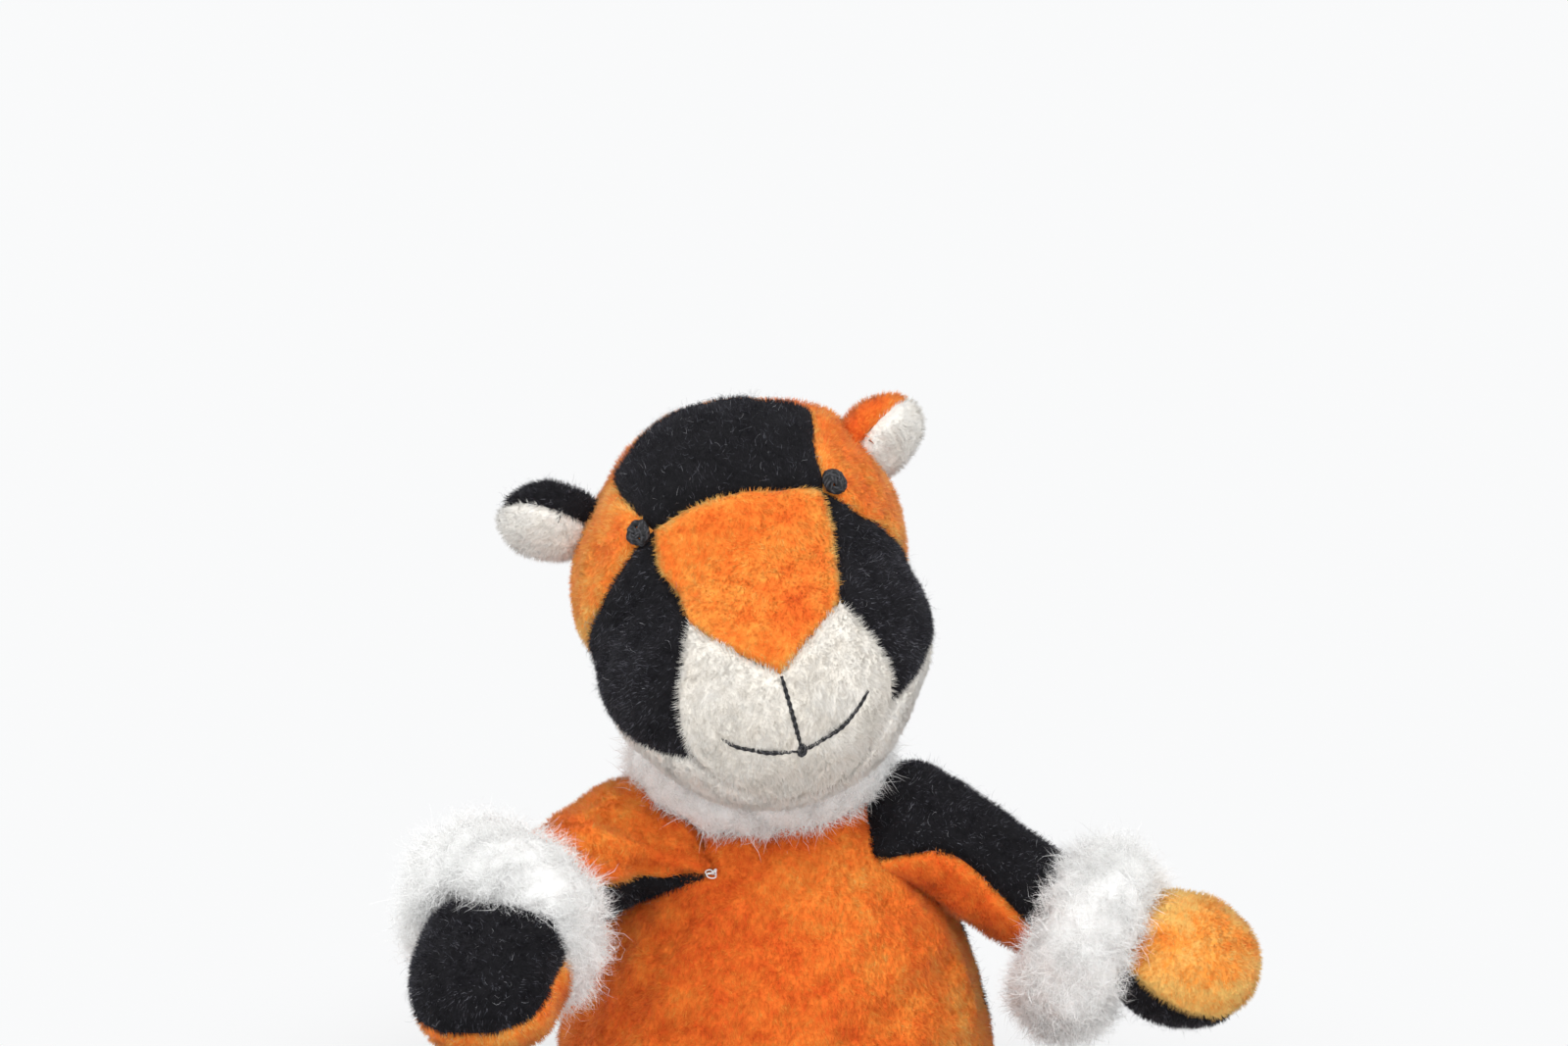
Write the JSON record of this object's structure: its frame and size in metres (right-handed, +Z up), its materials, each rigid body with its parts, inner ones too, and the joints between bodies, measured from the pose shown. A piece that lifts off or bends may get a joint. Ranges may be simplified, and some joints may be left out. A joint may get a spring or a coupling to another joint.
{
  "type": "plush tiger",
  "caption": "Seated patchwork plush tiger with a swelling stuffed body, leaning round head, bent arms with fluffy cuffs, forward legs and a slim tail.",
  "frame": {"origin": "middle of the flat seat face that the toy sits on", "axes": "+Z up; the toy looks along -Y; +X is to the right of someone facing it"},
  "size_m": [0.1453, 0.1419, 0.1403],
  "materials": {
    "orange_pile": "short brushed pile, matte, warm orange",
    "black_pile": "short brushed pile, matte, near black",
    "white_pile": "short soft pile, matte, creamy white",
    "white_fluff": "long curly fleece, matte, pure white",
    "stuffing_fibre": "loose fibre filling, matte white",
    "pouch_cloth": "thin plain woven cloth, matte cream",
    "black_thread": "embroidery thread, slight sheen, black"
  },
  "bodies": {
    "torso": {"body_front": "orange_pile", "body_back": "black_pile", "seat_panel": "black_pile", "bean_pouch": "pouch_cloth", "body_stuffing": "stuffing_fibre", "chest_knot": "white_fluff"},
    "neck": {"neck_stuffing": "stuffing_fibre", "neck_ruff": "white_pile"},
    "head": {"forehead_patch": "black_pile", "muzzle_bridge": "orange_pile", "muzzle_front": "white_pile", "chin_gusset": "white_pile", "left_cheek": "black_pile", "right_cheek": "black_pile", "left_head_side": "orange_pile", "right_head_side": "orange_pile", "left_head_back": "orange_pile", "right_head_back": "orange_pile", "head_stuffing": "stuffing_fibre", "left_ear_front": "white_pile", "left_ear_back": "black_pile", "right_ear_front": "white_pile", "right_ear_back": "orange_pile", "left_eye": "black_thread", "right_eye": "black_thread", "mouth_upright": "black_thread", "mouth_smile": "black_thread"},
    "left_arm": {"left_arm_upper_sleeve": "orange_pile", "left_arm_under_sleeve": "black_pile", "left_arm_stuffing": "stuffing_fibre", "left_arm_cuff": "white_fluff", "left_paw_top": "black_pile", "left_paw_underside": "orange_pile", "left_paw_stuffing": "stuffing_fibre"},
    "right_arm": {"right_arm_upper_sleeve": "black_pile", "right_arm_under_sleeve": "orange_pile", "right_arm_stuffing": "stuffing_fibre", "right_arm_cuff": "white_fluff", "right_paw_top": "orange_pile", "right_paw_underside": "black_pile", "right_paw_stuffing": "stuffing_fibre"},
    "left_leg": {"left_leg_upper_sleeve": "orange_pile", "left_leg_under_sleeve": "black_pile", "left_leg_stuffing": "stuffing_fibre", "left_leg_cuff": "white_fluff", "left_foot_top": "black_pile", "left_foot_underside": "orange_pile", "left_foot_stuffing": "stuffing_fibre"},
    "right_leg": {"right_leg_upper_sleeve": "black_pile", "right_leg_under_sleeve": "orange_pile", "right_leg_stuffing": "stuffing_fibre", "right_leg_cuff": "white_fluff", "right_foot_top": "orange_pile", "right_foot_underside": "black_pile", "right_foot_stuffing": "stuffing_fibre"},
    "tail": {"tail_upper": "orange_pile", "tail_underside": "black_pile", "tail_stuffing": "stuffing_fibre"}
  },
  "joints": [
    {"name": "head_turn", "type": "hinge", "parent": "torso", "child": "neck", "pos_m": [0, 0, 0.0723], "axis": [0, 0, 1], "range_deg": [-20, 20], "stiffness_Nm_per_rad": 0.3},
    {"name": "head_nod", "type": "hinge", "parent": "neck", "child": "head", "pos_m": [-0.00654, -0.0023, 0.11135], "axis": [1, 0, 0], "range_deg": [-12, 3], "stiffness_Nm_per_rad": 0.3},
    {"name": "left_arm_swing", "type": "hinge", "parent": "torso", "child": "left_arm", "pos_m": [-0.025, -0.009, 0.0635], "axis": [1, 0, 0], "range_deg": [-30, 5], "stiffness_Nm_per_rad": 0.05},
    {"name": "right_arm_swing", "type": "hinge", "parent": "torso", "child": "right_arm", "pos_m": [0.0265, -0.005, 0.0635], "axis": [0, 1, 0], "range_deg": [-30, 5], "stiffness_Nm_per_rad": 0.05},
    {"name": "left_leg_spread", "type": "hinge", "parent": "torso", "child": "left_leg", "pos_m": [-0.029, -0.021, 0.0134], "axis": [0, 0, 1], "range_deg": [-15, 15], "stiffness_Nm_per_rad": 0.05},
    {"name": "right_leg_spread", "type": "hinge", "parent": "torso", "child": "right_leg", "pos_m": [0.029, -0.021, 0.0134], "axis": [0, 0, 1], "range_deg": [-15, 15], "stiffness_Nm_per_rad": 0.05},
    {"name": "tail_swing", "type": "hinge", "parent": "torso", "child": "tail", "pos_m": [0, 0.0315, 0.0095], "axis": [0, 0, 1], "range_deg": [-25, 25], "stiffness_Nm_per_rad": 0.01}
  ]
}
